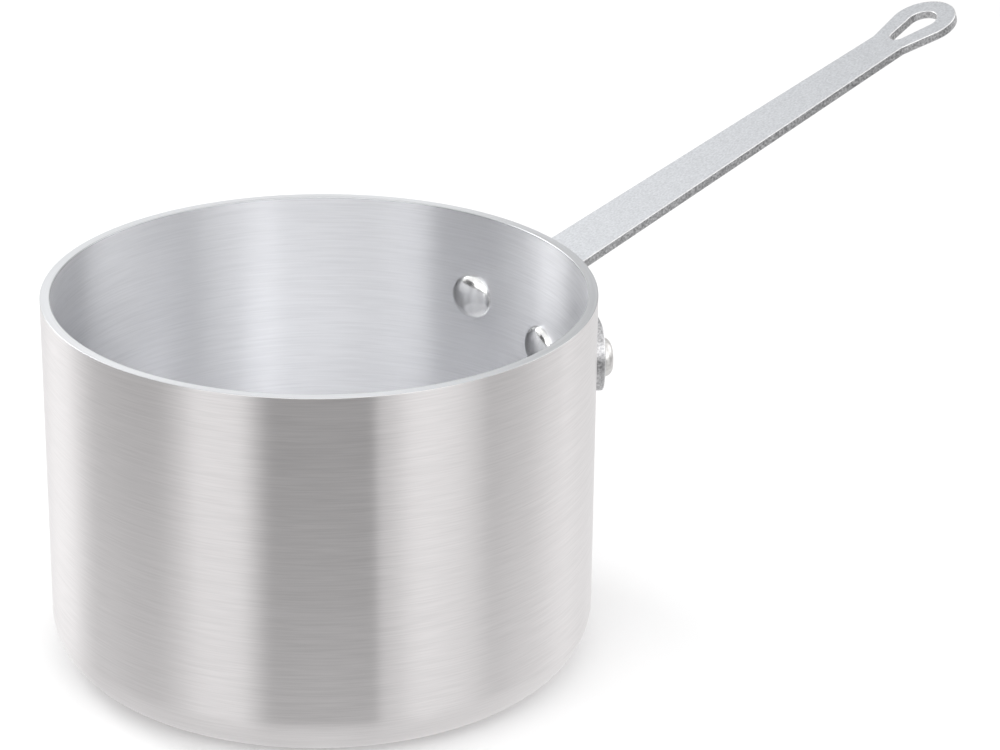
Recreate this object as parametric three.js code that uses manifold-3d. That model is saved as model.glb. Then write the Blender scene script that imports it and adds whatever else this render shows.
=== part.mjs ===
import * as THREE from "three";
import { mergeVertices } from "three/addons/utils/BufferGeometryUtils.js";
import Module from "manifold-3d";

// Straight-sided saucepan with a riveted strap handle. Millimetres, +Z up, handle along +X.
// The origin is the middle of the base underside.

// Pan body
const panRadius = 101.5;
const panHeight = 141.5;
const wallThickness = 3.8;
const baseThickness = 3.8;
const cornerRadius = 18;
const rimEaseOutside = 0.25;
const rimEaseInside = 0.5;

// Handle strap, one stamping of even thickness
const strapThickness = 3.6;
const edgeEase = 0.35;
const barSlope = THREE.MathUtils.degToRad(20.7);
const barDrop = 9.3; // from the rim down to where the bar's top face would meet the wall
const bendRadius = 5; // inside of the bend under the rim
const rootWidth = 25.7;
const waistWidth = 17.8;
const waistDistance = 171; // from the wall along the bar
const loopDistance = 190.9;
const loopRadius = 13.7;
const flankStart = 18.5; // from the loop's middle back to where its straight flanks leave the bar
const flankFillet = 4;

// Hanging hole, a teardrop about the middle of the loop
const holeRadius = 6.1;
const holePoint = 16; // from the loop's middle to the tip of the point
const holePointRadius = 3.3;

// Foot of the strap, two ears and a lower middle lobe
const earAngle = THREE.MathUtils.degToRad(22.2);
const earRadius = 13.4;
const earLift = 1; // the ear's middle above its rivet
const lobeRadius = 13.4;
const shoulderSlope = THREE.MathUtils.degToRad(6);
const shoulderFillet = 6;
const flattenBefore = 2; // the foot's curve starts to fade this far below the bend
const flattenAfter = 4;

// Rivets, the domed head inside and the formed head outside
const earRivetDrop = 34.3; // from the rim down to the rivet's middle
const middleRivetDrop = 44.8;
const shankRadius = 4;
const domeRadius = 8.95;
const domeHeight = 3.8;
const formedRadius = 7.3;
const formedHeight = 4.1;
const formedEase = 3;

// Fits
const seatGap = 0.3;
const holeGap = 0.3;
const cutterReach = 20; // how far a cutter runs past what it cuts

// Fineness of the round shapes
const panSides = 96;
const rivetSides = 28;
const strapColumns = 14;
const endFacet = 0.12; // half angle of the flat facet that ends the lobe and the loop

const aluminium = new THREE.MeshStandardMaterial({ color: 0xc9cacc, metalness: 1, roughness: 0.35 });
const platedSteel = new THREE.MeshStandardMaterial({ color: 0xbfc0c2, metalness: 1, roughness: 0.5 });
const rivetAluminium = new THREE.MeshStandardMaterial({ color: 0xd2d2d0, metalness: 1, roughness: 0.25 });

const wasm = await Module();
wasm.setup();

function toSolid(geometry) {
  const bare = geometry.clone();
  bare.deleteAttribute("normal");
  bare.deleteAttribute("uv");
  const merged = mergeVertices(bare, 1e-4);
  const triangles = [];
  for (let i = 0; i < merged.index.count; i += 3) {
    const [a, b, c] = [0, 1, 2].map((k) => merged.index.getX(i + k));
    if (a !== b && b !== c && c !== a) triangles.push(a, b, c);
  }
  return new wasm.Manifold(
    new wasm.Mesh({
      numProp: 3,
      vertProperties: new Float32Array(merged.attributes.position.array),
      triVerts: new Uint32Array(triangles),
    }),
  );
}

function toMesh(name, solid, material) {
  const data = solid.getMesh();
  const geometry = new THREE.BufferGeometry();
  geometry.setAttribute("position", new THREE.BufferAttribute(new Float32Array(data.vertProperties), 3));
  geometry.setIndex(new THREE.BufferAttribute(new Uint32Array(data.triVerts), 1));
  geometry.computeVertexNormals();
  const mesh = new THREE.Mesh(geometry, material);
  mesh.name = name;
  return mesh;
}

// Points on an arc in the plane, both ends included.
function arc(centreA, centreB, radius, from, to, steps) {
  const points = [];
  for (let i = 0; i <= steps; i += 1) {
    const angle = from + ((to - from) * i) / steps;
    points.push([centreA + radius * Math.cos(angle), centreB + radius * Math.sin(angle)]);
  }
  return points;
}

// A closed profile of [radius, height] pairs turned about +Z.
function turned(profile, sides) {
  const points = profile.map(([radius, height]) => new THREE.Vector2(radius, height));
  return new THREE.LatheGeometry(points, sides).rotateX(Math.PI / 2);
}

// A round bar lying along the radius at the given angle and height.
function radialBar(radius, from, to, angle, height) {
  return new THREE.CylinderGeometry(radius, radius, to - from, rivetSides)
    .rotateZ(Math.PI / 2)
    .translate((from + to) / 2, 0, 0)
    .rotateZ(angle)
    .translate(0, 0, height);
}

const quarter = Math.PI / 2;
const innerRadius = panRadius - wallThickness;
const strapInside = panRadius + seatGap;
const strapMiddle = strapInside + strapThickness / 2;
const strapOutside = strapInside + strapThickness;
const earRivetHeight = panHeight - earRivetDrop;
const middleRivetHeight = panHeight - middleRivetDrop;
const rivets = [
  { name: "rivet_left", angle: earAngle, height: earRivetHeight },
  { name: "rivet_middle", angle: 0, height: middleRivetHeight },
  { name: "rivet_right", angle: -earAngle, height: earRivetHeight },
];

function cutRivetHoles(solid) {
  return rivets.reduce((left, rivet) => {
    const from = innerRadius - cutterReach;
    const to = strapOutside + cutterReach;
    return left.subtract(toSolid(radialBar(shankRadius + holeGap, from, to, rivet.angle, rivet.height)));
  }, solid);
}

// Pan body: a shell of even wall turned about +Z, its corner rounded inside and out.
function makePanBody() {
  const innerCorner = cornerRadius - wallThickness;
  const cornerMiddle = panRadius - cornerRadius;
  const profile = [
    [0, 0],
    ...arc(cornerMiddle, cornerRadius, cornerRadius, -quarter, 0, 7),
    ...arc(panRadius - rimEaseOutside, panHeight - rimEaseOutside, rimEaseOutside, 0, quarter, 2),
    ...arc(innerRadius + rimEaseInside, panHeight - rimEaseInside, rimEaseInside, quarter, 2 * quarter, 2),
    ...arc(cornerMiddle, baseThickness + innerCorner, innerCorner, 0, -quarter, 7),
    [0, baseThickness],
  ];
  return cutRivetHoles(toSolid(turned(profile, panSides)));
}

// Side view of the strap's middle surface. Distances run along the flat blank, from the ear rivets.
const halfStrap = strapThickness / 2;
const wallToMiddle = strapMiddle - panRadius;
const cornerRise = wallToMiddle * Math.tan(barSlope) - halfStrap / Math.cos(barSlope);
const cornerHeight = panHeight - barDrop + cornerRise;
const bendMiddle = bendRadius + halfStrap;
const bendAngle = quarter - barSlope;
const bendReach = bendMiddle * Math.tan(bendAngle / 2);
const bendStart = cornerHeight - bendReach - earRivetHeight;
const bendEnd = bendStart + bendMiddle * bendAngle;
const wallToBlank = bendEnd - bendReach - wallToMiddle / Math.cos(barSlope);

// A point of the blank, placed where the curved foot, the bend and the bar put it.
function place(along, across, depth) {
  const turn = THREE.MathUtils.clamp((along - bendStart) / bendMiddle, 0, bendAngle);
  const before = Math.min(along, bendStart);
  const after = Math.max(along - bendEnd, 0);
  const heading = quarter - turn;
  const x = strapMiddle + bendMiddle * (1 - Math.cos(turn)) + after * Math.cos(heading);
  const z = earRivetHeight + before + bendMiddle * Math.sin(turn) + after * Math.sin(heading);
  const flat = THREE.MathUtils.smoothstep(along, bendStart - flattenBefore, bendEnd + flattenAfter);
  const curve = Math.max((1 - flat) / strapMiddle, 1e-7);
  const swing = across * curve;
  const outward = depth * Math.cos(swing) - (1 - Math.cos(swing)) / curve;
  const sideways = depth * Math.sin(swing) + Math.sin(swing) / curve;
  return [x + outward * Math.sin(heading), sideways, z - outward * Math.cos(heading)];
}

function barHalfWidth(distance) {
  return (rootWidth + ((waistWidth - rootWidth) * distance) / waistDistance) / 2;
}

// Splits a straight run of the outline, so that the wrapped surface keeps close to the wall.
function run(from, to, steps) {
  const points = [];
  for (let i = 1; i < steps; i += 1) {
    points.push([0, 1].map((k) => from[k] + ((to[k] - from[k]) * i) / steps));
  }
  return points;
}

// Half the blank's outline as [along, across] pairs, from the foot's lowest point to the loop's tip.
function blankOutline() {
  const earAcross = earAngle * strapMiddle;
  const lobeAlong = middleRivetHeight - earRivetHeight;
  const span = Math.hypot(earAcross, earLift - lobeAlong);
  const tilt = Math.atan2(earLift - lobeAlong, earAcross) - Math.asin((earRadius - lobeRadius) / span);
  const lobe = arc(lobeAlong, 0, lobeRadius, Math.PI - endFacet, Math.PI - tilt, 3);
  const ear = arc(earLift, earAcross, earRadius, Math.PI - tilt, shoulderSlope, 14);

  const neckAcross = barHalfWidth(0);
  const shoulderStart = ear.at(-1);
  const filletMiddleAcross = neckAcross + shoulderFillet;
  const filletStartAcross = filletMiddleAcross - shoulderFillet * Math.sin(shoulderSlope);
  const shoulderRise = (shoulderStart[1] - filletStartAcross) * Math.tan(shoulderSlope);
  const filletStartAlong = shoulderStart[0] + shoulderRise;
  const filletMiddleAlong = filletStartAlong + shoulderFillet * Math.cos(shoulderSlope);
  const filletFrom = shoulderSlope + Math.PI;
  const fillet = arc(filletMiddleAlong, filletMiddleAcross, shoulderFillet, filletFrom, 3 * quarter, 5);

  const taper = Math.atan2(rootWidth - waistWidth, 2 * waistDistance);
  const loopAlong = loopDistance + wallToBlank;
  const kink = [loopAlong - flankStart, barHalfWidth(loopDistance - flankStart)];
  const sightAngle = Math.atan2(kink[1], flankStart);
  const flankAngle = Math.asin(loopRadius / Math.hypot(flankStart, kink[1])) - sightAngle;
  const filletReach = flankFillet * Math.tan((flankAngle + taper) / 2);
  const flareMiddle = [
    kink[0] - filletReach * Math.cos(taper) + flankFillet * Math.sin(taper),
    kink[1] + filletReach * Math.sin(taper) + flankFillet * Math.cos(taper),
  ];
  const flare = arc(...flareMiddle, flankFillet, 3 * quarter - taper, 3 * quarter + flankAngle, 3);
  const loop = arc(loopAlong, 0, loopRadius, quarter + flankAngle, endFacet, 14);

  const bend = [];
  for (let i = 0; i <= 8; i += 1) {
    const along = bendStart + ((bendEnd - bendStart) * i) / 8;
    if (along > filletMiddleAlong + 0.2) bend.push([along, neckAcross]);
  }
  const barAlong = Math.max(bendEnd + flattenAfter, filletMiddleAlong) + 1;
  const barStart = [barAlong, barHalfWidth(barAlong - wallToBlank)];
  return [
    ...lobe,
    ...run(lobe.at(-1), ear[0], 8),
    ...ear,
    ...run(shoulderStart, fillet[0], 5),
    ...fillet,
    ...bend,
    barStart,
    ...run(barStart, flare[0], 4),
    ...flare,
    ...run(flare.at(-1), loop[0], 3),
    ...loop,
  ];
}

// Handle: the blank is laid out as rows from edge to edge, closed round its thickness and punched.
function makeHandle() {
  const rows = blankOutline();
  const easedDepth = halfStrap - edgeEase;
  const ring = [];
  for (let k = 0; k <= strapColumns; k += 1) ring.push([(2 * k) / strapColumns - 1, edgeEase, -halfStrap]);
  ring.push([1, 0, -easedDepth], [1, 0, easedDepth]);
  for (let k = strapColumns; k >= 0; k -= 1) ring.push([(2 * k) / strapColumns - 1, edgeEase, halfStrap]);
  ring.push([-1, 0, easedDepth], [-1, 0, -easedDepth]);

  const positions = rows.flatMap(([along, halfWidth]) =>
    ring.flatMap(([share, ease, depth]) => place(along, share * (halfWidth - ease), depth)),
  );
  const count = ring.length;
  const triangles = [];
  for (let j = 0; j + 1 < rows.length; j += 1) {
    for (let k = 0; k < count; k += 1) {
      const a = j * count + k;
      const b = j * count + ((k + 1) % count);
      triangles.push(a, a + count, b, b, a + count, b + count);
    }
  }
  for (const [row, order] of [
    [0, [0, 1, 2, 0, 2, 3]],
    [rows.length - 1, [0, 2, 1, 0, 3, 2]],
  ]) {
    for (let k = -1; k <= strapColumns; k += 1) {
      const quad = [k, k + 1, 2 * strapColumns + 2 - k, 2 * strapColumns + 3 - k];
      triangles.push(...order.map((i) => row * count + ((quad[i] + count) % count)));
    }
  }
  const sheet = new THREE.BufferGeometry();
  sheet.setAttribute("position", new THREE.Float32BufferAttribute(positions, 3));
  sheet.setIndex(triangles);
  return cutRivetHoles(toSolid(sheet)).subtract(toSolid(makeTeardropPunch()));
}

// The punch is a prism square to the bar, with its point towards the pan.
function makeTeardropPunch() {
  const pointMiddle = holePoint - holePointRadius;
  const open = Math.acos((holeRadius - holePointRadius) / pointMiddle);
  const outline = [
    ...arc(0, 0, holeRadius, open - Math.PI, Math.PI - open, 22),
    ...arc(-pointMiddle, 0, holePointRadius, Math.PI - open, Math.PI + open, 4),
  ].map(([along, across]) => new THREE.Vector2(along, across));
  const [x, , z] = place(loopDistance + wallToBlank, 0, 0);
  const depth = strapThickness + 2 * cutterReach;
  return new THREE.ExtrudeGeometry(new THREE.Shape(outline), { depth, bevelEnabled: false })
    .translate(0, 0, -depth / 2)
    .rotateY(-barSlope)
    .translate(x, 0, z);
}

// Rivet: both heads are cut to the curve they bear on, then joined by the shank.
function makeRivet({ angle, height }) {
  const domeSeat = innerRadius - seatGap;
  const formedSeat = strapOutside + seatGap;
  const sunk = (formedSeat - domeSeat) / 2;
  const low = height - cutterReach;
  const high = height + cutterReach;
  const aim = (geometry, distance) =>
    toSolid(geometry.rotateY(quarter).translate(distance, 0, 0).rotateZ(angle).translate(0, 0, height));

  const dome = [];
  for (let i = 7; i >= 0; i -= 1) {
    const around = (quarter * i) / 7;
    dome.push([domeRadius * Math.cos(around), -domeHeight * Math.sin(around)]);
  }
  dome.push([domeRadius, sunk], [0, sunk]);
  const wallSpace = [
    [domeSeat, low],
    [formedSeat, low],
    [formedSeat, high],
    [domeSeat, high],
    [domeSeat, low],
  ];
  const domeBlank = aim(turned(dome, rivetSides), domeSeat);
  const innerHead = domeBlank.subtract(toSolid(turned(wallSpace, panSides)));

  const formed = [
    [0, -sunk],
    [formedRadius, -sunk],
    ...arc(formedRadius - formedEase, formedHeight - formedEase, formedEase, 0, quarter, 5),
    [0, formedHeight],
  ];
  const footSpace = [
    [0, low],
    [formedSeat, low],
    [formedSeat, high],
    [0, high],
  ];
  const formedBlank = aim(turned(formed, rivetSides), formedSeat);
  const outerHead = formedBlank.subtract(toSolid(turned(footSpace, panSides)));

  const shank = toSolid(radialBar(shankRadius, domeSeat - 1, formedSeat + 1, angle, height));
  return innerHead.add(shank).add(outerHead);
}

const saucepan = new THREE.Group();
saucepan.name = "saucepan";
saucepan.add(toMesh("pan_body", makePanBody(), aluminium));
saucepan.add(toMesh("handle", makeHandle(), platedSteel));
for (const rivet of rivets) saucepan.add(toMesh(rivet.name, makeRivet(rivet), rivetAluminium));

export default saucepan;
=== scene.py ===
import math

import bmesh
import bpy
from mathutils import Matrix, Vector


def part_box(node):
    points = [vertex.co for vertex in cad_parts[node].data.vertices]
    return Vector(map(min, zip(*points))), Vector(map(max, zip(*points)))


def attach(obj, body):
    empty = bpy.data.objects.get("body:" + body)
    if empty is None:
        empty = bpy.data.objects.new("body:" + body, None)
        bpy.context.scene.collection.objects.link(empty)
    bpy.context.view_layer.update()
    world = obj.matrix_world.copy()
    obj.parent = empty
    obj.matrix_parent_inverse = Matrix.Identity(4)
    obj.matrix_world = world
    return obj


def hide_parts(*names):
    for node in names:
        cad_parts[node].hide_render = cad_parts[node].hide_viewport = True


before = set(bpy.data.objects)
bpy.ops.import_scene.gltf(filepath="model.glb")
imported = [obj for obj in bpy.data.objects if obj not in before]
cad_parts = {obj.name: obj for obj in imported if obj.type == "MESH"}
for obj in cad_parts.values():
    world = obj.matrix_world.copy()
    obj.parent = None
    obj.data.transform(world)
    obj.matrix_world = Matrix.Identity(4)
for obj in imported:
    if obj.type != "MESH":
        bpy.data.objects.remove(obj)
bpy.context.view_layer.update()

mm = 0.001
weld = 1e-6              # points this near, in metres, are one
fineWeld = 1e-7
scene = bpy.context.scene
scene.view_settings.view_transform = "Standard"


# small helpers

def placeMesh(name, bm, materials):
    mesh = bpy.data.meshes.new(name)
    bm.to_mesh(mesh)
    bm.free()
    for material in materials:
        mesh.materials.append(material)
    piece = bpy.data.objects.new(name, mesh)
    scene.collection.objects.link(piece)
    return piece


def finishPiece(name, bm, materials, replaced):
    piece = placeMesh(name, bm, materials)
    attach(piece, "root")
    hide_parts(replaced)
    print("piece", name, len(piece.data.polygons), "faces")
    return piece


# Shading normals follow the larger faces, so flats stay flat beside their eased edges

def keepFlat(piece):
    weighted = piece.modifiers.new("weighted", "WEIGHTED_NORMAL")
    weighted.weight = 100
    weighted.keep_sharp = False
    return piece


# An outline is drawn from its last vertex by straight runs and by arcs

def runTo(bm, vert, spot):
    new = bmesh.ops.extrude_vert_indiv(bm, verts=[vert])["verts"][0]
    new.co = spot
    return new


def arcBy(bm, vert, centre, angle, steps, axis=(0, 0, 1)):
    spun = bmesh.ops.spin(
        bm, geom=[vert], cent=centre, axis=axis, angle=angle, steps=steps, use_merge=False,
    )
    return next(item for item in spun["geom_last"] if isinstance(item, bmesh.types.BMVert))


def roundCorner(bm, corner, size, steps):
    bmesh.ops.bevel(
        bm, geom=[corner], offset=size, offset_type="OFFSET", segments=steps, profile=0.5,
        affect="VERTICES", material=-1,
    )


def closeShell(bm, near):
    bmesh.ops.remove_doubles(bm, verts=bm.verts[:], dist=near)
    bmesh.ops.recalc_face_normals(bm, faces=bm.faces[:])


def spinShell(bm, steps, near):
    bmesh.ops.spin(
        bm, geom=bm.verts[:] + bm.edges[:], cent=(0, 0, 0), axis=(0, 0, 1), angle=2 * math.pi,
        steps=steps, use_merge=True,
    )
    closeShell(bm, near)


def easeShare(share):
    share = min(max(share, 0), 1)
    return share * share * (3 - 2 * share)


# shader nodes

patternSpan = (0.3, 0.7)     # a noise stays mostly between these
perMetre = 1000.0            # scratch widths are in mm
quarterTurn = 0.25           # gloss spreads across the grain, not along the UV map's tangent
speckleDetail = 3.0


def addNode(tree, kind, place, **values):
    node = tree.nodes.new(kind)
    node.location = place
    for key, value in values.items():
        setattr(node, key, value)
    return node


def addMath(tree, operation, place, first, second):
    node = addNode(tree, "ShaderNodeMath", place, operation=operation)
    for socket, value in zip(node.inputs, (first, second)):
        if isinstance(value, (int, float)):
            socket.default_value = value
        else:
            tree.links.new(value, socket)
    return node.outputs["Value"]


def addRange(tree, place, value, low, high):
    node = addNode(tree, "ShaderNodeMapRange", place)
    for name, number in zip(("From Min", "From Max", "To Min", "To Max"), (*patternSpan, low, high)):
        node.inputs[name].default_value = number
    tree.links.new(value, node.inputs["Value"])
    return node.outputs["Result"]


def addTint(tree, place, value, dark, light):
    ramp = addNode(tree, "ShaderNodeValToRGB", place)
    for element, position, colour in zip(ramp.color_ramp.elements, patternSpan, (dark, light)):
        element.position = position
        element.color = (*colour, 1)
    tree.links.new(value, ramp.inputs["Fac"])
    return ramp.outputs["Color"]


def addBump(tree, place, height, strength, distance):
    bump = addNode(tree, "ShaderNodeBump", place)
    bump.inputs["Strength"].default_value = strength
    bump.inputs["Distance"].default_value = distance
    tree.links.new(height, bump.inputs["Height"])
    return bump.outputs["Normal"]


def newMetal(name):
    material = bpy.data.materials.new(name)
    material.use_nodes = True
    tree = material.node_tree
    shader = tree.nodes["Principled BSDF"]
    shader.inputs["Metallic"].default_value = 1.0
    return material, tree, shader


# A finish's pattern drives its colour, its roughness and its bump

def dressShader(tree, shader, finish, pattern, furrows):
    link = tree.links.new
    tint = addTint(tree, (-350, 250), pattern, finish["dark"], finish["light"])
    link(tint, shader.inputs["Base Color"])
    link(addRange(tree, (-350, 0), pattern, *finish["roughness"]), shader.inputs["Roughness"])
    normal = addBump(tree, (-350, -250), furrows, finish["bump"], finish["bumpDepth"])
    link(normal, shader.inputs["Normal"])


# Effects are node groups, built once and placed in each material with its own values

def newEffect(name, values, result):
    group = bpy.data.node_groups.new(name, "ShaderNodeTree")
    for label, value in values.items():
        socket = group.interface.new_socket(label, in_out="INPUT", socket_type="NodeSocketFloat")
        socket.default_value = value
    group.interface.new_socket(result, in_out="OUTPUT", socket_type="NodeSocketFloat")
    given = addNode(group, "NodeGroupInput", (-1100, 0))
    out = addNode(group, "NodeGroupOutput", (700, 0))
    return group, given.outputs, out.inputs[result]


def addEffect(tree, effect, place, values):
    node = addNode(tree, "ShaderNodeGroup", place, node_tree=effect)
    for label, value in values.items():
        node.inputs[label].default_value = value
    return node.outputs[0]


# Turned grain: fine scratches that run round the Z axis, on walls and flats alike

def makeTurnedGrain():
    group, given, streakOut = newEffect("turnedGrain", {"Width": 0.4, "Length": 6.0}, "Streak")
    link = group.links.new
    coords = addNode(group, "ShaderNodeTexCoord", (-1100, 300))
    parts = addNode(group, "ShaderNodeSeparateXYZ", (-900, 300))
    link(coords.outputs["Object"], parts.inputs[0])
    flat = addNode(group, "ShaderNodeCombineXYZ", (-700, 300))
    link(parts.outputs["X"], flat.inputs["X"])
    link(parts.outputs["Y"], flat.inputs["Y"])
    reach = addNode(group, "ShaderNodeVectorMath", (-500, 400), operation="LENGTH")
    link(flat.outputs[0], reach.inputs[0])
    around = addNode(group, "ShaderNodeVectorMath", (-500, 200), operation="NORMALIZE")
    link(flat.outputs[0], around.inputs[0])
    # distance along the section grows with both the radius and the height
    along = addMath(group, "ADD", (-300, 400), reach.outputs["Value"], parts.outputs["Z"])
    perLine = addMath(group, "DIVIDE", (-300, 0), perMetre, given["Width"])
    across = addMath(group, "MULTIPLY", (-100, 400), along, perLine)
    stretched = addNode(group, "ShaderNodeVectorMath", (-300, 200), operation="SCALE")
    link(around.outputs[0], stretched.inputs[0])
    link(given["Length"], stretched.inputs["Scale"])
    lifted = addNode(group, "ShaderNodeCombineXYZ", (-100, 0))
    link(across, lifted.inputs["Z"])
    spot = addNode(group, "ShaderNodeVectorMath", (100, 200), operation="ADD")
    link(stretched.outputs[0], spot.inputs[0])
    link(lifted.outputs[0], spot.inputs[1])
    streak = addNode(group, "ShaderNodeTexNoise", (300, 200), noise_dimensions="3D")
    streak.inputs["Scale"].default_value = 1.0
    streak.inputs["Detail"].default_value = 0.0
    link(spot.outputs[0], streak.inputs["Vector"])
    link(streak.outputs["Fac"], streakOut)
    return group


# Fine spots: the even speckle of plated, sheared and polished metal

def makeFineSpots():
    group, given, spotsOut = newEffect("fineSpots", {"Fineness": 1000.0}, "Spots")
    link = group.links.new
    coords = addNode(group, "ShaderNodeTexCoord", (-900, 100))
    speckle = addNode(group, "ShaderNodeTexNoise", (-700, 100))
    speckle.inputs["Detail"].default_value = speckleDetail
    link(given["Fineness"], speckle.inputs["Scale"])
    link(coords.outputs["Object"], speckle.inputs["Vector"])
    link(speckle.outputs["Fac"], spotsOut)
    return group


turnedGrain = makeTurnedGrain()
fineSpots = makeFineSpots()
print("effects made")


# Pan body: one shell spun from its half section

panSetup = {
    "wall": 3.8 * mm,
    "base": 3.8 * mm,
    "corner": 18 * mm,
    "rimEaseOutside": 0.25 * mm,
    "rimEaseInside": 0.5 * mm,
    "rimDepth": 0.01 * mm,          # faces this near the top are the rim's flat
    "cornerSteps": 18,
    "rimSteps": 5,
    "turns": 256,
    "uvHeight": 100 * mm,           # length of the section in one unit of the UV map
    "finishes": {
        "brushedOutside": {
            "dark": (0.841, 0.818, 0.819),
            "light": (0.914, 0.889, 0.891),
            "roughness": (0.277, 0.297),
            "anisotropy": 1.0,
            "widths": (0.36, 0.52),     # mm across one fine and one wide scratch
            "lengths": (9.0, 4.0),      # higher is shorter
            "bump": 0.006,
            "bumpDepth": 0.05 * mm,
        },
        # the inside's brushing is its own; its colour, lighter and bluer than the outside's, is painted
        # light standing in for the light the inside reflects
        "brushedInside": {
            "dark": (0.88, 0.885, 0.905),
            "light": (0.95, 0.954, 0.975),
            "roughness": (0.36, 0.42),
            "anisotropy": 1.0,
            "widths": (0.45, 0.75),
            "lengths": (8.0, 3.0),
            "bump": 0.012,
            "bumpDepth": 0.05 * mm,
        },
        # a turned finish, partly real; its colour, darker than the wall's, is painted shade on the rim
        "turnedAndShadedRim": {
            "dark": (0.74, 0.753, 0.773),
            "light": (0.8, 0.813, 0.833),
            "roughness": (0.28, 0.33),
            "anisotropy": 0.6,
            "widths": (0.4, 0.8),
            "lengths": (3.6, 2.0),
            "bump": 0.02,
            "bumpDepth": 0.03 * mm,
        },
        # painted shade: a darker colour that dims the highlight on the rim's inner edge
        "shadedEasedRim": {
            "dark": (0.56, 0.57, 0.585),
            "light": (0.63, 0.64, 0.655),
            "roughness": (0.32, 0.4),
            "anisotropy": 0.6,
            "widths": (0.4, 0.8),
            "lengths": (3.6, 2.0),
            "bump": 0.02,
            "bumpDepth": 0.03 * mm,
        },
    },
}


def makeBrushedMetal(name, finish):
    material, tree, shader = newMetal(name)
    fine, wide = (
        addEffect(tree, turnedGrain, (-900, down), {"Width": width, "Length": length})
        for down, width, length in zip((200, -100), finish["widths"], finish["lengths"])
    )
    both = addMath(tree, "ADD", (-700, 100), fine, wide)
    mixed = addMath(tree, "MULTIPLY", (-550, 100), both, 0.5)
    dressShader(tree, shader, finish, mixed, wide)
    tangent = addNode(tree, "ShaderNodeTangent", (-350, -450), direction_type="UV_MAP", uv_map="wrap")
    tree.links.new(tangent.outputs["Tangent"], shader.inputs["Tangent"])
    shader.inputs["Anisotropic"].default_value = finish["anisotropy"]
    shader.inputs["Anisotropic Rotation"].default_value = quarterTurn
    return material


def wrapUv(bm):
    layer = bm.loops.layers.uv.new("wrap")
    for face in bm.faces:
        middle = face.calc_center_median()
        home = math.atan2(middle.y, middle.x)
        for loop in face.loops:
            spot = loop.vert.co
            reach = math.hypot(spot.x, spot.y)
            turn = math.atan2(spot.y, spot.x) - home if reach > fineWeld else 0.0
            turn = (turn + math.pi) % (2 * math.pi) - math.pi
            around = (home + turn) / (2 * math.pi)
            loop[layer].uv = (around, (reach + spot.z) / panSetup["uvHeight"])


def drawPanSection(bm, radius, height):
    inside, floor = radius - panSetup["wall"], panSetup["base"]
    section = [(0, 0), (radius, 0), (radius, height), (inside, height), (inside, floor), (0, floor)]
    corners = [bm.verts.new((reach, 0, rise)) for reach, rise in section]
    for pair in zip(corners, corners[1:]):
        bm.edges.new(pair)
    innerCorner = panSetup["corner"] - panSetup["wall"]
    roundCorner(bm, corners[1], panSetup["corner"], panSetup["cornerSteps"])
    roundCorner(bm, corners[2], panSetup["rimEaseOutside"], panSetup["rimSteps"])
    roundCorner(bm, corners[3], panSetup["rimEaseInside"], panSetup["rimSteps"])
    roundCorner(bm, corners[4], innerCorner, panSetup["cornerSteps"])


# outside, inside, the rim's flat top and its inner edge each have their own finish; the darker colours
# of the rim's top and inner edge are painted shade

def panFinishAt(face, height):
    spot, normal = face.calc_center_median(), face.normal
    facesUp = normal.z > 0.5
    inward = facesUp or normal.x * spot.x + normal.y * spot.y < -weld
    if spot.z > height - panSetup["rimDepth"]:
        return "turnedAndShadedRim"
    if inward and spot.z > height - panSetup["rimEaseInside"]:
        return "shadedEasedRim"
    return "brushedInside" if inward and spot.z > panSetup["base"] / 2 else "brushedOutside"


def makePan():
    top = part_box("pan_body")[1]
    finishes = panSetup["finishes"]
    names = list(finishes)
    bm = bmesh.new()
    drawPanSection(bm, top.x, top.z)
    spinShell(bm, panSetup["turns"], weld)
    for face in bm.faces:
        face.smooth = True
        face.material_index = names.index(panFinishAt(face, top.z))
    wrapUv(bm)
    materials = [makeBrushedMetal(name, finish) for name, finish in finishes.items()]
    return keepFlat(finishPiece("panShell", bm, materials, "pan_body"))


# Handle: a flat half blank is drawn, thickened, eased and mirrored, then bent to its place

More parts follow.
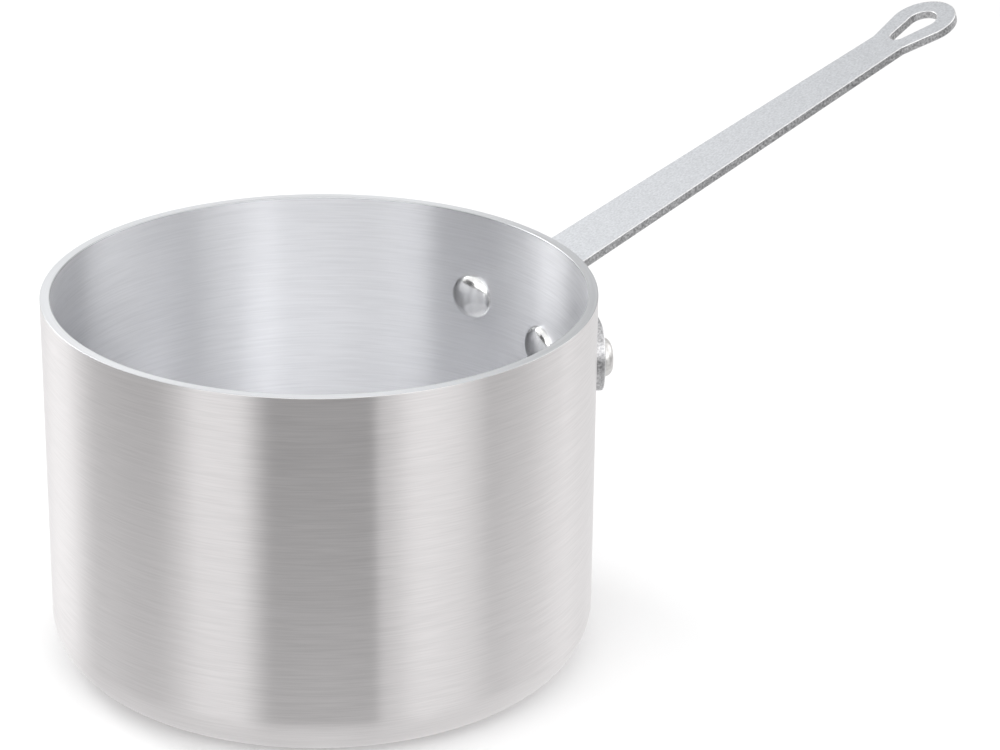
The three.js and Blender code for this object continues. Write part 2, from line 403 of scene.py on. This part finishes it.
handleSetup = {
    "thickness": 3.6 * mm,
    "edgeEase": 0.4 * mm,
    "slope": math.radians(20.7),
    "barDrop": 9.3 * mm,       # rim down to where the bar's top face would meet the wall
    "bendRadius": 5 * mm,
    "rootWidth": 25.7 * mm,
    "waistWidth": 17.8 * mm,
    "waistDistance": 171 * mm,
    "loopDistance": 190.9 * mm,
    "loopRadius": 13.7 * mm,
    "flankStart": 18.5 * mm,   # the loop's middle back to where its flanks leave the bar
    "flankFillet": 4 * mm,
    "holeRadius": 6.1 * mm,
    "holePoint": 16 * mm,
    "holePointRadius": 3.3 * mm,
    "earRadius": 13.4 * mm,
    "earLift": 1 * mm,
    "lobeRadius": 13.4 * mm,
    "shoulderSlope": math.radians(6),
    "shoulderFillet": 6 * mm,
    "flattenBefore": 2 * mm,   # the foot's curve fades from here below the bend
    "flattenAfter": 4 * mm,
    "barLead": 1 * mm,         # from there on to the start of the tapered bar
    "seatGap": 0.3 * mm,
    "flattest": 1e-4,          # least curve across the strap, so that the flat bar still has one
    "footStep": 3 * mm,        # between the cuts that let the foot curve and the neck bend
    "bendStep": 0.6 * mm,
    "acrossStep": 2 * mm,
    "easeSteps": 3,
    "arcSteps": {
        "lobe": 10, "ear": 40, "shoulder": 12, "flank": 6, "loop": 56, "hole": 28, "holePoint": 10,
    },
    "sideRise": 0.1,           # a face of the blank whose normal rises less than this is a side
    "flatRise": 0.99,
    "finishes": {
        "platedSteel": {
            "dark": (0.575, 0.588, 0.61),
            "light": (0.735, 0.75, 0.775),
            "roughness": (0.42, 0.56),
            "fineness": 1150.0,
            "bump": 0.25,
            "bumpDepth": 0.06 * mm,
        },
        "shearedSteel": {
            "dark": (0.34, 0.34, 0.35),
            "light": (0.78, 0.78, 0.79),
            "roughness": (0.34, 0.5),
            "fineness": 1100.0,
            "bump": 0.5,
            "bumpDepth": 0.1 * mm,
        },
        # burnished, partly real; the lighter colour is a painted highlight along the eased edges
        "burnishedAndHighlitSteel": {
            "dark": (0.7, 0.705, 0.71),
            "light": (0.88, 0.885, 0.89),
            "roughness": (0.28, 0.4),
            "fineness": 1300.0,
            "bump": 0.2,
            "bumpDepth": 0.06 * mm,
        },
    },
}

rivetSetup = {
    "earAngle": math.radians(22.2),
    "shankRadius": 4 * mm,
    "domeRadius": 8.95 * mm,
    "domeHeight": 3.8 * mm,
    "formedRadius": 7.3 * mm,
    "formedHeight": 4.1 * mm,
    "formedEase": 3 * mm,
    "creaseAngle": math.radians(40),
    "sides": 72,
    "steps": 14,
    "finishes": {
        "polishedDome": {
            "dark": (0.86, 0.86, 0.86),
            "light": (0.95, 0.95, 0.94),
            "roughness": (0.14, 0.22),
            "fineness": 420.0,
            "bump": 0.08,
            "bumpDepth": 0.05 * mm,
        },
        "formedHead": {
            "dark": (0.7, 0.69, 0.675),
            "light": (0.88, 0.87, 0.855),
            "roughness": (0.34, 0.46),
            "fineness": 700.0,
            "bump": 0.15,
            "bumpDepth": 0.06 * mm,
        },
    },
}


def makeSpeckledMetal(name, finish):
    material, tree, shader = newMetal(name)
    spots = addEffect(tree, fineSpots, (-700, 100), {"Fineness": finish["fineness"]})
    dressShader(tree, shader, finish, spots, spots)
    return material


def middleHeight(node):
    low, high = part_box(node)
    return (low.z + high.z) / 2


def planBend():
    shape = handleSetup
    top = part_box("pan_body")[1]
    half = shape["thickness"] / 2
    middle = top.x + shape["seatGap"] + half
    earHeight = middleHeight("rivet_left")
    wallToMiddle = middle - top.x
    slope = shape["slope"]
    barHeight = top.z - shape["barDrop"] + wallToMiddle * math.tan(slope)
    cornerHeight = barHeight - half / math.cos(slope)
    bendMiddle = shape["bendRadius"] + half
    angle = math.pi / 2 - slope
    reach = bendMiddle * math.tan(angle / 2)
    start = cornerHeight - reach - earHeight
    end = start + bendMiddle * angle
    return {
        "middle": middle, "earHeight": earHeight, "lobeAlong": middleHeight("rivet_middle") - earHeight,
        "bendMiddle": bendMiddle, "angle": angle, "start": start, "end": end,
        "flatFrom": start - shape["flattenBefore"], "flatTo": end + shape["flattenAfter"],
        "wallToBlank": end - reach - wallToMiddle / math.cos(slope),
    }


def placeOnHandle(plan, along, across, depth):
    turn = min(max((along - plan["start"]) / plan["bendMiddle"], 0), plan["angle"])
    before = min(along, plan["start"])
    after = max(along - plan["end"], 0)
    heading = math.pi / 2 - turn
    x = plan["middle"] + plan["bendMiddle"] * (1 - math.cos(turn)) + after * math.cos(heading)
    z = plan["earHeight"] + before + plan["bendMiddle"] * math.sin(turn) + after * math.sin(heading)
    flat = easeShare((along - plan["flatFrom"]) / (plan["flatTo"] - plan["flatFrom"]))
    curve = max((1 - flat) / plan["middle"], handleSetup["flattest"])
    swing = across * curve
    outward = depth * math.cos(swing) - (1 - math.cos(swing)) / curve
    sideways = depth * math.sin(swing) + math.sin(swing) / curve
    return Vector((x + outward * math.sin(heading), sideways, z - outward * math.cos(heading)))


# The half blank's outline has three stretches: x runs along the strap, y across it

def drawFoot(bm, plan, vert):
    shape, steps = handleSetup, handleSetup["arcSteps"]
    earAcross, earAlong = rivetSetup["earAngle"] * plan["middle"], shape["earLift"]
    lobeAlong, slope = plan["lobeAlong"], shape["shoulderSlope"]
    earRadius = shape["earRadius"]
    span = math.hypot(earAcross, earAlong - lobeAlong)
    tilt = math.atan2(earAlong - lobeAlong, earAcross)
    tilt -= math.asin((earRadius - shape["lobeRadius"]) / span)
    vert = arcBy(bm, vert, (lobeAlong, 0, 0), -tilt, steps["lobe"])
    onEar = (earAlong - earRadius * math.cos(tilt), earAcross + earRadius * math.sin(tilt), 0)
    vert = runTo(bm, vert, onEar)
    vert = arcBy(bm, vert, (earAlong, earAcross, 0), slope + tilt - math.pi, steps["ear"])
    # shoulder and its fillet into the neck
    fillet = shape["shoulderFillet"]
    filletAcross = shape["rootWidth"] / 2 + fillet
    startAcross = filletAcross - fillet * math.sin(slope)
    startAlong = vert.co.x + (vert.co.y - startAcross) * math.tan(slope)
    vert = runTo(bm, vert, (startAlong, startAcross, 0))
    filletAlong = startAlong + fillet * math.cos(slope)
    return arcBy(bm, vert, (filletAlong, filletAcross, 0), math.pi / 2 - slope, steps["shoulder"])


def drawBarAndLoop(bm, plan, vert):
    shape, steps = handleSetup, handleSetup["arcSteps"]
    taper = math.atan2(shape["rootWidth"] - shape["waistWidth"], 2 * shape["waistDistance"])

    def halfWidth(distance):
        return shape["rootWidth"] / 2 - distance * math.tan(taper)

    loopAlong, loopRadius = shape["loopDistance"] + plan["wallToBlank"], shape["loopRadius"]
    barAlong = max(plan["flatTo"], vert.co.x) + shape["barLead"]
    vert = runTo(bm, vert, (barAlong, halfWidth(barAlong - plan["wallToBlank"]), 0))
    back, fillet = shape["flankStart"], shape["flankFillet"]
    kink = halfWidth(shape["loopDistance"] - back)
    flank = math.asin(loopRadius / math.hypot(back, kink)) - math.atan2(kink, back)
    filletReach = fillet * math.tan((flank + taper) / 2)
    startAlong = loopAlong - back - filletReach * math.cos(taper)
    startAcross = kink + filletReach * math.sin(taper)
    vert = runTo(bm, vert, (startAlong, startAcross, 0))
    flare = (startAlong + fillet * math.sin(taper), startAcross + fillet * math.cos(taper), 0)
    vert = arcBy(bm, vert, flare, flank + taper, steps["flank"])
    onLoop = (loopAlong - loopRadius * math.sin(flank), loopRadius * math.cos(flank), 0)
    vert = runTo(bm, vert, onLoop)
    return arcBy(bm, vert, (loopAlong, 0, 0), -math.pi / 2 - flank, steps["loop"])


def drawHole(bm, plan, vert):
    shape, steps = handleSetup, handleSetup["arcSteps"]
    loopAlong, pointRadius = shape["loopDistance"] + plan["wallToBlank"], shape["holePointRadius"]
    pointBack = shape["holePoint"] - pointRadius
    opening = math.acos((shape["holeRadius"] - pointRadius) / pointBack)
    vert = runTo(bm, vert, (loopAlong + shape["holeRadius"], 0, 0))
    vert = arcBy(bm, vert, (loopAlong, 0, 0), math.pi - opening, steps["hole"])
    pointAlong = loopAlong - pointBack
    onPoint = (pointAlong - pointRadius * math.cos(opening), pointRadius * math.sin(opening), 0)
    vert = runTo(bm, vert, onPoint)
    return arcBy(bm, vert, (pointAlong, 0, 0), opening, steps["holePoint"])


def drawHalfBlank(bm, plan):
    first = bm.verts.new((plan["lobeAlong"] - handleSetup["lobeRadius"], 0, 0))
    vert = drawFoot(bm, plan, first)
    vert = drawBarAndLoop(bm, plan, vert)
    vert = drawHole(bm, plan, vert)
    bm.edges.new((vert, first))
    bmesh.ops.remove_doubles(bm, verts=bm.verts[:], dist=fineWeld)


def onMiddle(item):
    return all(abs(vert.co.y) < fineWeld for vert in item.verts)


def isLevel(edge):
    return abs(edge.verts[0].co.z - edge.verts[1].co.z) < fineWeld


def thickenBlank(bm):
    thickness = handleSetup["thickness"]
    bmesh.ops.edgeloop_fill(bm, edges=bm.edges[:])
    bmesh.ops.translate(bm, vec=(0, 0, -thickness / 2), verts=bm.verts[:])
    grown = bmesh.ops.extrude_face_region(bm, geom=bm.faces[:], use_keep_orig=True)
    raised = [item for item in grown["geom"] if isinstance(item, bmesh.types.BMVert)]
    bmesh.ops.translate(bm, vec=(0, 0, thickness), verts=raised)
    bmesh.ops.recalc_face_normals(bm, faces=bm.faces[:])


# stamped edges are eased all round, but not along the middle, which stays open for the mirror

def easeBlank(bm):
    rims = [edge for edge in bm.edges if isLevel(edge) and not onMiddle(edge)]
    bmesh.ops.bevel(
        bm, geom=rims, offset=handleSetup["edgeEase"], offset_type="OFFSET",
        segments=handleSetup["easeSteps"], profile=0.5, affect="EDGES", material=-1, clamp_overlap=False,
    )
    bmesh.ops.delete(bm, geom=[face for face in bm.faces if onMiddle(face)], context="FACES_ONLY")


def cutFaces(bm, faces, spot, normal):
    parts = dict.fromkeys(item for face in faces for item in (*face.verts, *face.edges))
    bmesh.ops.bisect_plane(bm, geom=[*parts, *faces], dist=weld, plane_co=spot, plane_no=normal)


def cutForBending(bm, plan):
    shape = handleSetup
    footEnd = plan["flatTo"]
    spot = min(vert.co.x for vert in bm.verts) + shape["footStep"]
    while spot < footEnd:
        cutFaces(bm, bm.faces[:], (spot, 0, 0), (1, 0, 0))
        spot += shape["bendStep"] if spot > plan["flatFrom"] else shape["footStep"]
    cutFaces(bm, bm.faces[:], (footEnd, 0, 0), (1, 0, 0))
    widest = max(vert.co.y for vert in bm.verts)
    spot = shape["acrossStep"]
    while spot < widest:
        foot = [face for face in bm.faces if max(vert.co.x for vert in face.verts) < footEnd + weld]
        cutFaces(bm, foot, (0, spot, 0), (0, 1, 0))
        spot += shape["acrossStep"]


# the sheared sides are rougher, and the eased edges are burnished, with a lighter colour that paints
# their highlight

def handleFinishAt(face):
    rise = abs(face.normal.z)
    if rise < handleSetup["sideRise"]:
        return "shearedSteel"
    return "burnishedAndHighlitSteel" if rise < handleSetup["flatRise"] else "platedSteel"


def makeHandle():
    plan = planBend()
    finishes = handleSetup["finishes"]
    names = list(finishes)
    bm = bmesh.new()
    drawHalfBlank(bm, plan)
    thickenBlank(bm)
    easeBlank(bm)
    cutForBending(bm, plan)
    whole = bm.verts[:] + bm.edges[:] + bm.faces[:]
    bmesh.ops.mirror(bm, geom=whole, axis="Y", merge_dist=fineWeld)
    closeShell(bm, weld)
    for face in bm.faces:
        face.smooth = True
        face.material_index = names.index(handleFinishAt(face))
    for vert in bm.verts:
        vert.co = placeOnHandle(plan, *vert.co)
    bmesh.ops.recalc_face_normals(bm, faces=bm.faces[:])
    materials = [makeSpeckledMetal(name, finish) for name, finish in finishes.items()]
    return keepFlat(finishPiece("handleStrap", bm, materials, "handle"))


# Rivets: spun heads and shank, curved with the wall they sit on

def makeRivet(name, node, angle, materials):
    shape = rivetSetup
    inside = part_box("pan_body")[1].x - panSetup["wall"]
    outside = planBend()["middle"] + handleSetup["thickness"] / 2
    grip = outside - inside
    height = middleHeight(node)
    bm = bmesh.new()
    # section: x is the radius from the rivet's line, z runs outward from the inner wall
    tip = bm.verts.new((0, 0, -shape["domeRadius"]))
    vert = arcBy(bm, tip, (0, 0, 0), -math.pi / 2, shape["steps"], axis=(0, 1, 0))
    bmesh.ops.scale(bm, vec=(1, 1, shape["domeHeight"] / shape["domeRadius"]), verts=bm.verts[:])
    vert = runTo(bm, vert, (shape["shankRadius"], 0, 0))
    vert = runTo(bm, vert, (shape["shankRadius"], 0, grip))
    vert = runTo(bm, vert, (shape["formedRadius"], 0, grip))
    rounded = runTo(bm, vert, (shape["formedRadius"], 0, grip + shape["formedHeight"]))
    runTo(bm, rounded, (0, 0, grip + shape["formedHeight"]))
    roundCorner(bm, rounded, shape["formedEase"], shape["steps"])
    spinShell(bm, shape["sides"], fineWeld)
    for edge in bm.edges:
        edge.smooth = edge.calc_face_angle(0) < shape["creaseAngle"]
    for face in bm.faces:
        face.smooth = True
        face.material_index = int(face.calc_center_median().z > grip / 2)
    for vert in bm.verts:
        across, rise, outward = vert.co
        turn = angle + across / inside
        reach = inside + outward
        vert.co = (reach * math.cos(turn), reach * math.sin(turn), height + rise)
    bmesh.ops.recalc_face_normals(bm, faces=bm.faces[:])
    return finishPiece(name, bm, materials, node)


def makeRivets():
    materials = [makeSpeckledMetal(name, finish) for name, finish in rivetSetup["finishes"].items()]
    makeRivet("rivetLeft", "rivet_left", rivetSetup["earAngle"], materials)
    makeRivet("rivetMiddle", "rivet_middle", 0.0, materials)
    makeRivet("rivetRight", "rivet_right", -rivetSetup["earAngle"], materials)


# Stage: white surroundings, a ring of grey cards that only the metal shows, softboxes and a pale floor

stageSetup = {
    "handleTurn": math.radians(33.6),   # the handle points this far back from the picture's right
    "floorSize": 8.0,
    "floorColour": (0.95, 0.95, 0.95, 1),
    "floorLight": 0.86,                 # what the surroundings add to the floor, where 1 is white
    # reach and height of the lower and the upper edge of each set of cards, then the greys of both
    # edges at headings in degrees round from the picture's right, where the camera is at -87
    "cards": {
        "lowCards": ((0.36, -0.145), (0.88, 0.05), [
            (-180, 0.68, 0.45), (-154, 0.62, 0.5), (-132, 0.88, 0.88), (-119.5, 0.86, 0.84),
            (-103.5, 0.22, 0.0), (-67.5, 0.22, 0.0), (-66, 0.54, 0.37), (-50, 0.85, 0.84),
            (-36, 0.8, 0.8), (-19, 0.65, 0.42), (-6, 0.76, 0.4), (20, 0.98, 0.66), (40, 0.92, 0.7),
            (110, 0.87, 0.81), (130, 0.92, 0.89), (146, 1.0, 1.0), (156, 1.0, 0.88), (180, 0.68, 0.45),
        ]),
        "highCards": ((0.88, 0.05), (1.5, 0.62), [
            (-180, 0.15, 0.15), (-150, 0.15, 0.15), (-134, 0.5, 0.5), (-121, 0.4, 0.4), (-105, 0.0, 0.0),
            (-67.5, 0.0, 0.0), (-66, 0.28, 0.28), (-47, 0.75, 0.75), (-38, 0.75, 0.75),
            (-14, 0.44, 0.44), (-4, 0.44, 0.44), (26, 0.69, 0.69), (60, 1.0, 1.0), (118, 0.9, 0.9),
            (150, 0.2, 0.2), (180, 0.15, 0.15),
        ]),
        "leftCard": ((1.3, 0.3), (1.3, 0.95), [(-178, 0.12, 0.12), (-140, 0.12, 0.12)]),
        "backCard": ((0.75, 0.17), (0.75, 0.8), [(45, 0.55, 0.55), (85.5, 0.55, 0.55)]),
        "floorCard": ((0.01, -0.165), (0.36, -0.145), [
            (-180, 0.8, 0.8), (-130, 0.72, 0.72), (-90, 0.77, 0.77), (-50, 0.72, 0.72), (0, 0.84, 0.84),
            (180, 0.8, 0.8),
        ]),
        "sideCard": ((0.7, -0.008), (0.86, 0.052), [(-24, 0.1, 0.1), (18, 0.1, 0.1)]),
    },
    # heading, rise and distance of each softbox's middle, its width and height, and its brightness
    "softboxes": {
        "keySoftbox": (-88, 38, 1.3, 2.9, 0.9, 1.25),
        "backSoftbox": (144, 32, 1.3, 0.5, 0.9, 3.4),
        "rightSoftbox": (20, 28, 1.3, 0.8, 0.8, 0.9),
    },
}


def makeWorld():
    world = bpy.data.worlds.new("studio")
    scene.world = world
    world.use_nodes = True
    world.cycles.sampling_method = "NONE"   # an even white needs no lamp sampling
    tree = world.node_tree
    link = tree.links.new
    plain = tree.nodes["Background"]
    plain.inputs["Color"].default_value = (1, 1, 1, 1)
    plain.inputs["Strength"].default_value = 1.0
    dimmed = addNode(tree, "ShaderNodeBackground", (0, -150))
    dimmed.inputs["Color"].default_value = (1, 1, 1, 1)
    dimmed.inputs["Strength"].default_value = stageSetup["floorLight"]
    path = addNode(tree, "ShaderNodeLightPath", (-400, 300))
    camera, glossy = path.outputs["Is Camera Ray"], path.outputs["Is Glossy Ray"]
    seen = addMath(tree, "MAXIMUM", (-200, 300), camera, glossy)
    seen = addMath(tree, "MAXIMUM", (0, 300), seen, path.outputs["Is Transmission Ray"])
    mix = addNode(tree, "ShaderNodeMixShader", (250, 100))
    link(seen, mix.inputs["Fac"])
    link(dimmed.outputs[0], mix.inputs[1])
    link(plain.outputs[0], mix.inputs[2])
    link(mix.outputs[0], tree.nodes["World Output"].inputs["Surface"])


def showOnStage(name, bm, material):
    piece = placeMesh(name, bm, [material])
    return piece


def makeFloor():
    bm = bmesh.new()
    bmesh.ops.create_grid(bm, x_segments=1, y_segments=1, size=stageSetup["floorSize"])
    material = bpy.data.materials.new("paleFloor")
    material.use_nodes = True
    shader = material.node_tree.nodes["Principled BSDF"]
    shader.inputs["Base Color"].default_value = stageSetup["floorColour"]
    shader.inputs["Roughness"].default_value = 1.0
    shader.inputs["Specular IOR Level"].default_value = 0.0
    floor = showOnStage("floor", bm, material)
    floor.visible_glossy = False            # the metal shows the surroundings there


def makeGreyGlow(name):
    material = bpy.data.materials.new(name)
    material.use_nodes = True
    tree = material.node_tree
    tree.nodes.clear()
    grey = addNode(tree, "ShaderNodeAttribute", (-200, 0), attribute_name="grey")
    glow = addNode(tree, "ShaderNodeEmission", (0, 0))
    out = addNode(tree, "ShaderNodeOutputMaterial", (200, 0))
    tree.links.new(grey.outputs["Color"], glow.inputs["Color"])
    tree.links.new(glow.outputs[0], out.inputs["Surface"])
    return material


def greysTowards(greys, heading):
    for (start, *startGreys), (end, *endGreys) in zip(greys, greys[1:]):
        if heading <= end:
            share = easeShare((heading - start) / (end - start))
            return [first + (last - first) * share for first, last in zip(startGreys, endGreys)]
    return greys[-1][1:]


def makeCards(name, foot, head, greys):
    start, end = greys[0][0], greys[-1][0]
    bm = bmesh.new()
    side = [bm.verts.new((reach, 0, height)) for reach, height in (foot, head)]
    edge = bm.edges.new(side)
    bmesh.ops.spin(
        bm, geom=[*side, edge], cent=(0, 0, 0), axis=(0, 0, 1), angle=math.radians(end - start),
        steps=int(end - start), use_merge=False,
    )
    layer = bm.verts.layers.float_color.new("grey")
    for vert in bm.verts:
        turn = math.degrees(math.atan2(vert.co.y, vert.co.x)) % 360
        atHead = abs(vert.co.z - head[1]) < weld
        grey = greysTowards(greys, start + turn)[atHead]
        vert[layer] = (grey, grey, grey, 1)
    toPlace = Matrix.Rotation(math.radians(start) - stageSetup["handleTurn"], 3, "Z")
    bmesh.ops.rotate(bm, verts=bm.verts[:], cent=(0, 0, 0), matrix=toPlace)
    cards = showOnStage(name, bm, makeGreyGlow(name))
    cards.visible_camera = False
    cards.visible_diffuse = False
    cards.visible_shadow = False


def makeSoftbox(name, heading, rise, reach, width, height, level):
    data = bpy.data.lights.new(name, "AREA")
    data.shape = "RECTANGLE"
    data.size = width
    data.size_y = height
    data.energy = level * math.pi * width * height
    box = bpy.data.objects.new(name, data)
    scene.collection.objects.link(box)
    turn = math.radians(heading) - stageSetup["handleTurn"]
    tip = math.radians(rise)
    flat = math.cos(tip)
    spot = Vector((math.cos(turn) * flat, math.sin(turn) * flat, math.sin(tip))) * reach
    box.matrix_world = Matrix.Translation(spot) @ spot.to_track_quat("Z", "Y").to_matrix().to_4x4()
    box.visible_camera = False


def makeStage():
    makeWorld()
    makeFloor()
    for name, look in stageSetup["cards"].items():
        makeCards(name, *look)
    for name, look in stageSetup["softboxes"].items():
        makeSoftbox(name, *look)
    print("stage set")


cameraSetup = {
    "lens": 122.26,
    "sensor": 36.0,
    "farthest": 20.0,
    # right, into the picture and up from the middle of the base
    "place": (66.0 * mm, -1152.3 * mm, 594.9 * mm),
    "tip": math.radians(22.9),
    "roll": math.radians(0.72),
}


def makeCamera():
    data = bpy.data.cameras.new("photoView")
    data.lens = cameraSetup["lens"]
    data.sensor_width = cameraSetup["sensor"]
    data.clip_end = cameraSetup["farthest"]
    camera = bpy.data.objects.new("photoView", data)
    scene.collection.objects.link(camera)
    turn = Matrix.Rotation(-stageSetup["handleTurn"], 4, "Z")
    tip = Matrix.Rotation(math.pi / 2 - cameraSetup["tip"], 4, "X")
    roll = Matrix.Rotation(cameraSetup["roll"], 4, "Z")
    camera.matrix_world = turn @ Matrix.Translation(cameraSetup["place"]) @ tip @ roll
    scene.camera = camera
    print("camera set")


makeCamera()
makePan()
makeHandle()
makeRivets()
makeStage()
